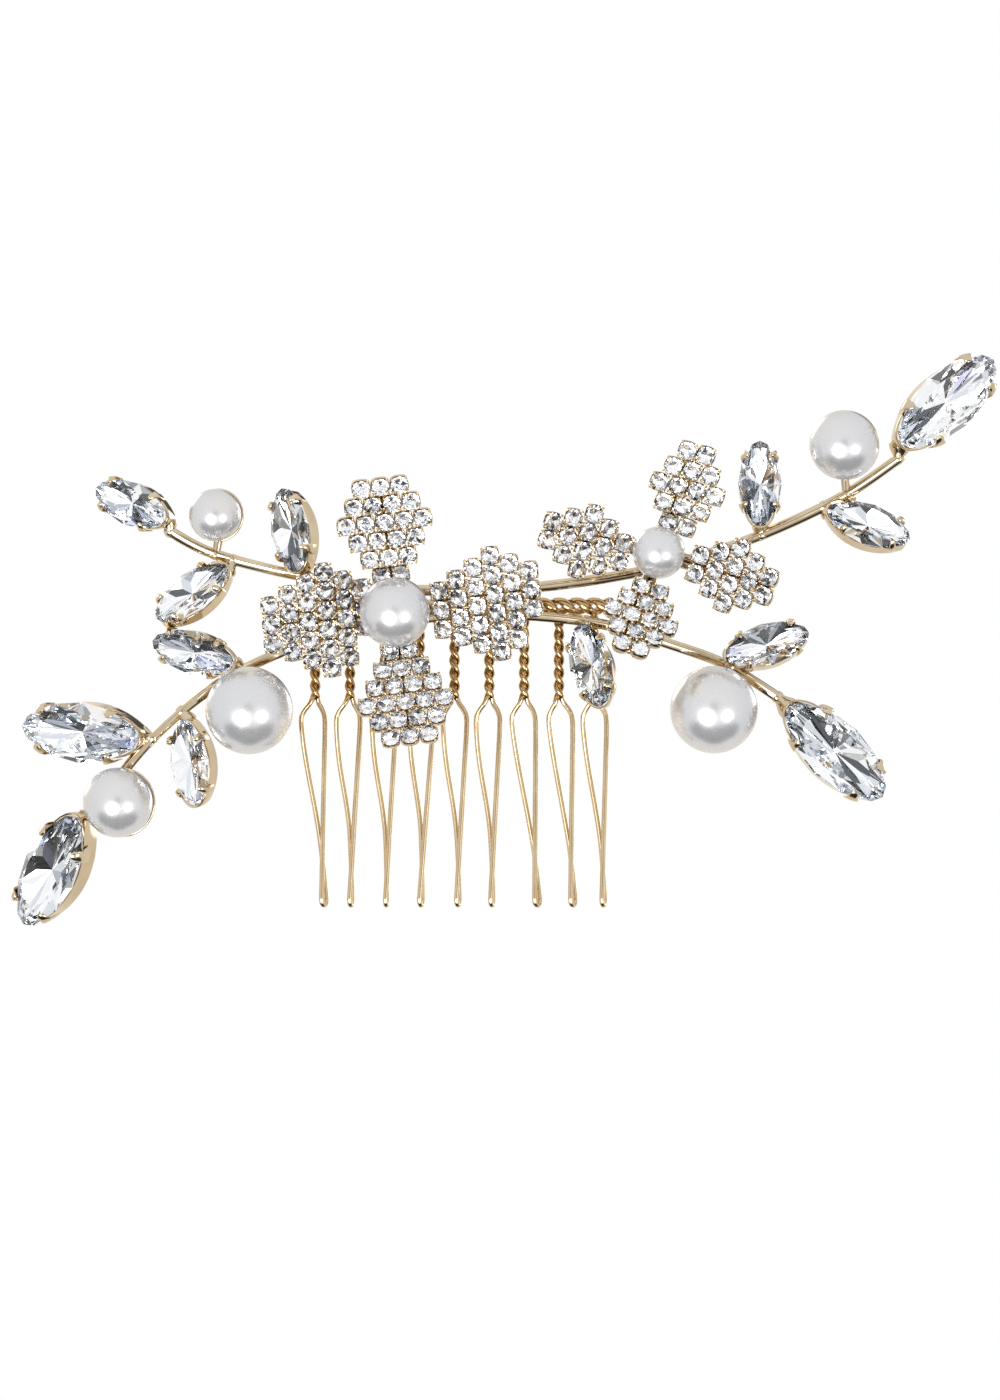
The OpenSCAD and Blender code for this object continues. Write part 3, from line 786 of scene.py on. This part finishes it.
def folded_claw(length, width, share, side):
    """A flat tab that rises beside a crystal and folds over its edge, with a beaded end."""
    radius = side_radius(length, width)
    angle = math.asin(share * length / radius)
    way = np.array([math.sin(angle), side * math.cos(angle), 0])
    spot = radius * way - [0, side * (radius - width / 2), 0]
    # 0.85 on a small leaf and 1.35 on a large one
    size = 0.25 * width / MM - 0.4
    reach = 0.7 + 0.3 * size
    outs = np.array([0.14, 0.2, 0.27, 0.2, -0.04, -0.34, -0.52, -0.6]) * reach * MM
    ups = np.array([-1.2, -0.4, 0.2, 0.55, 0.86, 1.12, 1.24, 1.26]) * reach * MM
    halves = np.array([0.7, 0.66, 0.6, 0.52, 0.42, 0.4, 0.27, 0.05]) * size * MM
    thick = np.array([0.12, 0.13, 0.15, 0.17, 0.21, 0.27, 0.2, 0.04]) * MM
    path = spot + outs[:, None] * way + ups[:, None] * Z_AXIS
    rings = circle(14) * np.column_stack([halves, thick])[:, None, :]
    return sweep(path, rings, np.tile(way + Z_AXIS, (len(path), 1)))


def claw_setting(number):
    """A leaf's setting: its wall, four claws, and a foot on the stem."""
    name = f"leaf_setting_{number}"
    place, length, width = leaf_place(f"leaf_crystal_{number}")
    piece = Piece(f"claw_setting_{number}", gold_plate)
    nearest_end = 1 if place.axes[0] @ FRONT > 0 else -1
    shapes = [setting_wall(length, width, nearest_end)]
    shapes += [folded_claw(length, width, share, side)
               for share in (TIP_CLAWS, BASE_CLAWS) for side in (-1, 1)]
    for points, faces in shapes:
        piece.add((place.out(points), faces))
    root = root_on_stem(mesh_of(name)[0])
    top = place.out([-0.44 * length, 0, -0.33 * width])
    foot(piece, root, top, 0.6 * MM, 0.185 * width)
    piece.done("gold_plate", name, crease=50)


# ---- Pearls ----

# Half the angle that a cup spans, on a stem and on a flower
STEM_CUP_ANGLE = 66
FLOWER_CUP_ANGLE = 34
HUB_R = 2.2 * MM
HUB_H = 0.4 * MM


def pearl_bead(number):
    """A pearl with its drilled hole, and the slight unevenness of a real one."""
    place, radius = pearl_place(f"pearl_{number}")
    hole_r, hole_end = 0.48 * MM, -0.25 * radius
    angles = np.linspace(math.asin(hole_r / radius), math.pi - 0.02, 40)
    profile = [(1e-6, hole_end), (hole_r, hole_end)]
    profile += [(radius * math.sin(a), -radius * math.cos(a)) for a in angles]
    points, faces = lathe(profile, place, 64)
    wobble = np.array([noise.noise(Vector((p - place.origin) / radius * 1.3 + place.origin * 300))
                       for p in points])
    points = place.origin + (points - place.origin) * (1 + 0.005 * wobble[:, None])
    piece = Piece(f"nacre_pearl_{number}", pearl_nacre)
    piece.add((points, faces))
    piece.done("pearl", f"pearl_{number}")


def dish(place, radius, half_angle):
    """A cup behind a pearl, with a rolled rim and the peg that the pearl is glued on."""
    wall, gap = 0.28 * MM, 0.04 * MM
    inner, outer = radius + gap, radius + gap + wall
    arc = np.radians(np.linspace(half_angle, 0, 16))
    profile = [(inner * math.sin(a), -inner * math.cos(a)) for a in arc[::-1]]
    rim = inner + wall / 2
    for turn in np.radians(np.arange(30, 180, 30)):
        swing = arc[0] + 0.5 * wall / rim * math.sin(turn)
        away = rim - 0.5 * wall * math.cos(turn)
        profile.append((away * math.sin(swing), -away * math.cos(swing)))
    profile += [(outer * math.sin(a), -outer * math.cos(a)) for a in arc]
    peg = [(0.42 * MM, -outer + 0.1 * MM), (0.42 * MM, -0.32 * radius)]
    return lathe(profile, place, 64), lathe(peg, place, 16)


def cups(name, numbers):
    """All cups of one size, each with its foot on a stem or its post on a hub."""
    piece = Piece(f"{name}_with_feet", gold_plate)
    cad, _ = mesh_of(name)
    for number in numbers:
        place, radius = pearl_places[number]
        half_angle = FLOWER_CUP_ANGLE if number in (MAIN_FLOWER, SMALL_FLOWER) else STEM_CUP_ANGLE
        for shape in dish(place, radius, half_angle):
            piece.add(shape)
        back = place.out([0, 0, -radius - 0.2 * MM])
        if number in (MAIN_FLOWER, SMALL_FLOWER):
            hub = hub_places[number]
            flat_r = HUB_R - 0.15 * MM
            disc = [(1e-6, -HUB_H), (flat_r, -HUB_H), (HUB_R, -0.75 * HUB_H),
                    (HUB_R, -0.25 * HUB_H), (flat_r, 0), (1e-6, 0)]
            piece.add(lathe(disc, hub, 48))
            piece.add(tube(np.linspace(hub.origin, back, 4), 0.7 * MM, 20))
        else:
            near = cad[np.linalg.norm(cad - place.origin, axis=1) < 2.2 * radius]
            foot(piece, root_on_stem(near), back, 0.48 * MM, 0.6 * MM)
    piece.done("gold_plate", name)


# ---- Flowers ----

STONE_R = 1.02 * MM
# Height of a stone's widest place above the back of its cup
STONE_GIRDLE = 1.08 * MM


def stone_cup(place):
    """A pressed cup, square outside and round inside."""
    # Each level's half width, how square it is, and its height, up outside and down inside
    levels = [(0.55, 2.2, 0.02), (0.92, 2.8, 0.1), (1.05, 3.4, 0.4), (1.09, 4, 0.92),
              (1.06, 3.4, 1.02), (1.0, 2.2, 0.98), (0.9, 2, 0.8), (0.6, 2, 0.55), (0.1, 2, 0.5)]
    rings = [np.column_stack([rounded_square(half * MM, power), np.full(20, z * MM)])
             for half, power, z in levels]
    return loft(np.array([place.out(ring) for ring in rings]))


def corner_claws(piece, place):
    """Four claws that rise from a cup's corners and close over the stone's edge."""
    outs_and_ups = ((1.2, 0.7), (1.26, 1.05), (1.2, 1.3), (1.06, 1.42))
    for quarter in range(4):
        angle = math.radians(45 + 90 * quarter)
        way = np.array([math.cos(angle), math.sin(angle), 0])
        path = [way * out * MM + Z_AXIS * up * MM for out, up in outs_and_ups]
        radii = np.array([0.12, 0.13, 0.14, 0.15]) * MM * random.uniform(0.9, 1.1)
        piece.add(tube(place.out(path), radii, 7, round_ends=True))


def round_stone(stones, seat):
    """Adds the brilliant that sits in a cup, turned at random."""
    turn = random.random()
    stone = brilliant(lambda t, share: circle_point(t + turn, share * STONE_R), table=0.56,
                      crown=0.36 * MM, girdle=0.08 * MM, pavilion=0.58 * MM)
    lifted = Place(seat.out([0, 0, STONE_GIRDLE]), seat.axes[0], seat.axes[2])
    # A random tone for each facet, shown by the foil as a painted reflection
    add_stone(stones, lifted, stone, [random.random() for _ in stone[1]])


def petal_arms(piece, petal, reach):
    """The two wires behind a petal's cups, from the hub to its last row."""
    for side in (-0.45 * MM, 0.45 * MM):
        arm = [[0.8 * MM, side, 0.1 * MM], [0.5 * reach, side, 0.05 * MM],
               [reach, side, 0.05 * MM]]
        piece.add(tube(petal.out(arm), 0.46 * MM, 12, round_ends=True))


def angles_from(petal, centres):
    """How far round from a petal's middle line each centre is, seen from the hub."""
    x, y, _ = petal.into(centres).T
    return np.abs(np.arctan2(y, x))


def flower(prefix, number):
    """A flower's four petals of cups, and all its stones."""
    middle = pearl_places[number][0].origin
    centres = np.array([middle_of(s) for s in separate_solids(f"{prefix}_flower_stones")])
    stones = Piece(f"{prefix}_brilliants", crystal, stone_foil_painted_sparkle)
    sides = ("left", "right", "top", "bottom")
    petals = [petal_place(f"{prefix}_petal_{side}", middle) for side in sides]
    owner = np.array([angles_from(petal, centres) for petal in petals]).argmin(axis=0)
    for i, (side, petal) in enumerate(zip(sides, petals)):
        seats = petal.into(centres[owner == i])
        piece = Piece(f"{prefix}_cups_{side}", gold_plate)
        for x, y, _ in seats:
            seat = Place(petal.out([x, y, 0]), petal.axes[0], petal.axes[2])
            piece.add(stone_cup(seat))
            corner_claws(piece, seat)
            round_stone(stones, seat)
        petal_arms(piece, petal, seats[:, 0].max())
        piece.done("gold_plate", f"{prefix}_petal_{side}")
    stones.done("flower_stone", f"{prefix}_flower_stones", crease=0)


# ---- Studio ----

# What the room holds, as (direction, inner angle, outer angle, brightness). Each place is
# even within its inner angle, in degrees, and has faded out at its outer one.
# Dark places: three of the floor, one for the camera, and one behind
DARK_PLACES = (
    ((0, -0.28, -0.96), 22, 36, 0.03),
    ((-0.52, -0.28, -0.8), 16, 31, 0.05),
    ((0.52, -0.28, -0.8), 16, 31, 0.05),
    ((0, -1, 0.1), 7, 16, 0.3),
    ((0.3, 0.9, 0.3), 10, 16, 0.1),
)
# Windows: two by the camera and two behind
WINDOWS = (
    ((-0.311, -0.885, -0.35), 12, 20, 9.0),
    ((0.566, -0.782, -0.264), 6, 15, 7.0),
    ((-0.5, 0.8, 0.35), 8, 16, 3.0),
    ((0.6, 0.75, 0.1), 8, 16, 3.0),
)


def sky_spot(tree, way, direction, inner, outer):
    """1 within the inner angle of a direction and 0 beyond the outer one."""
    dot = tree.nodes.new("ShaderNodeVectorMath")
    dot.operation = "DOT_PRODUCT"
    dot.inputs[1].default_value = unit(direction)
    tree.links.new(way, dot.inputs[0])
    soft = tree.nodes.new("ShaderNodeMapRange")
    soft.interpolation_type = "SMOOTHSTEP"
    soft.inputs["From Min"].default_value = math.cos(math.radians(outer))
    soft.inputs["From Max"].default_value = math.cos(math.radians(inner))
    tree.links.new(dot.outputs["Value"], soft.inputs["Value"])
    return soft.outputs["Result"]


def paint(tree, below, amount, colour):
    """A colour laid over what is below it, which is a colour or another node's output."""
    mix = tree.nodes.new("ShaderNodeMix")
    mix.data_type = "RGBA"
    mix.inputs[7].default_value = (*colour, 1)
    tree.links.new(amount, mix.inputs[0])
    if hasattr(below, "__len__"):
        mix.inputs[6].default_value = (*below, 1)
    else:
        tree.links.new(below, mix.inputs[6])
    return mix.outputs[2]


def white_studio():
    """A white room with two windows by the camera and a dark floor in reflections."""
    world = bpy.data.worlds.new("studio")
    bpy.context.scene.world = world
    world.use_nodes = True
    tree = world.node_tree
    tree.nodes.clear()
    way = tree.nodes.new("ShaderNodeTexCoord").outputs["Generated"]
    ceiling = sky_spot(tree, way, (0, 0, 1), 20, 100)
    colour = paint(tree, (0.93, 0.935, 0.95), ceiling, (1.05, 1.055, 1.07))
    back_wall = sky_spot(tree, way, (0, 1, -0.2), 40, 85)
    colour = paint(tree, colour, back_wall, (0.95, 0.90, 0.82))
    for direction, inner, outer, tone in DARK_PLACES:
        place = sky_spot(tree, way, direction, inner, outer)
        colour = paint(tree, colour, place, (1.05 * tone, tone, 0.92 * tone))
    for direction, inner, outer, power in WINDOWS:
        place = sky_spot(tree, way, direction, inner, outer)
        colour = paint(tree, colour, place, (power, power, power))
    light_path = tree.nodes.new("ShaderNodeLightPath")
    colour = paint(tree, colour, light_path.outputs["Is Camera Ray"], (1, 1, 1))
    background = tree.nodes.new("ShaderNodeBackground")
    output = tree.nodes.new("ShaderNodeOutputWorld")
    tree.links.new(colour, background.inputs["Color"])
    tree.links.new(background.outputs["Background"], output.inputs["Surface"])


# How far the floor is below the comb
FLOOR_DROP = 76 * MM
FLOOR_R = 100 * MM


def pale_floor():
    """A pale round table top, far enough down to stay out of the picture."""
    material, tree, shader = new_material("pale_floor")
    tree.links.new(ramp(tree, noise_in_place(tree, 60), (0.3, 0.82), (0.7, 0.86)),
                   shader.inputs["Base Color"])
    shader.inputs["Roughness"].default_value = 0.7
    low, high = cad_box
    top = Place([(low[0] + high[0]) / 2, 0, low[2] - FLOOR_DROP], X_AXIS, Z_AXIS)
    profile = [(1e-6, -4 * MM), (0.98 * FLOOR_R, -4 * MM), (FLOOR_R, -2 * MM),
               (0.99 * FLOOR_R, 0), (1e-6, 0)]
    points, faces = lathe(profile, top, 96)
    mesh = bpy.data.meshes.new("floor")
    mesh.from_pydata(points.tolist(), [], faces)
    mesh.materials.append(material)
    floor = bpy.data.objects.new("floor", mesh)
    bpy.context.scene.collection.objects.link(floor)
    floor.visible_glossy = False
    floor.visible_transmission = False


CAMERA_DISTANCE = 2500 * MM
# The height that the picture shows at the comb, and where its middle is from the spine's
PICTURE_HEIGHT = 160 * MM
LOOK_RIGHT = 5.2 * MM
LOOK_DOWN = 10.7 * MM
SENSOR = 36


def front_camera():
    """A level camera straight in front, to the right of the spine's middle and below it."""
    low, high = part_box("comb_spine")
    data = bpy.data.cameras.new("camera")
    data.sensor_width = SENSOR
    data.lens = SENSOR * CAMERA_DISTANCE / PICTURE_HEIGHT
    data.clip_end = 20
    camera = bpy.data.objects.new("camera", data)
    camera.location = ((low[0] + high[0]) / 2 + LOOK_RIGHT, -CAMERA_DISTANCE,
                       (low[2] + high[2]) / 2 - LOOK_DOWN)
    camera.rotation_euler = (math.radians(90), 0, 0)
    bpy.context.scene.collection.objects.link(camera)
    bpy.context.scene.camera = camera


front_camera()
white_studio()
pale_floor()
bpy.context.scene.view_settings.view_transform = "Standard"
light_paths = bpy.context.scene.cycles
light_paths.max_bounces = 24
light_paths.glossy_bounces = 16
light_paths.transmission_bounces = 16

for name in stem_lines:
    stem_wire(name)
twisted_spine()
binding_windings()
for number in range(1, TEETH + 1):
    hairpin_tooth(number)
for number in range(1, LEAVES + 1):
    cut_leaf(number)
    claw_setting(number)
for number in pearl_places:
    pearl_bead(number)
# Cups are in one node for each pearl size, so their pearls' numbers are given
cups("small_pearl_cups", (1, 5))
cups("medium_pearl_cups", (2, 4, 6))
cups("large_pearl_cups", (3, 7))
flower("main", MAIN_FLOWER)
flower("small", SMALL_FLOWER)
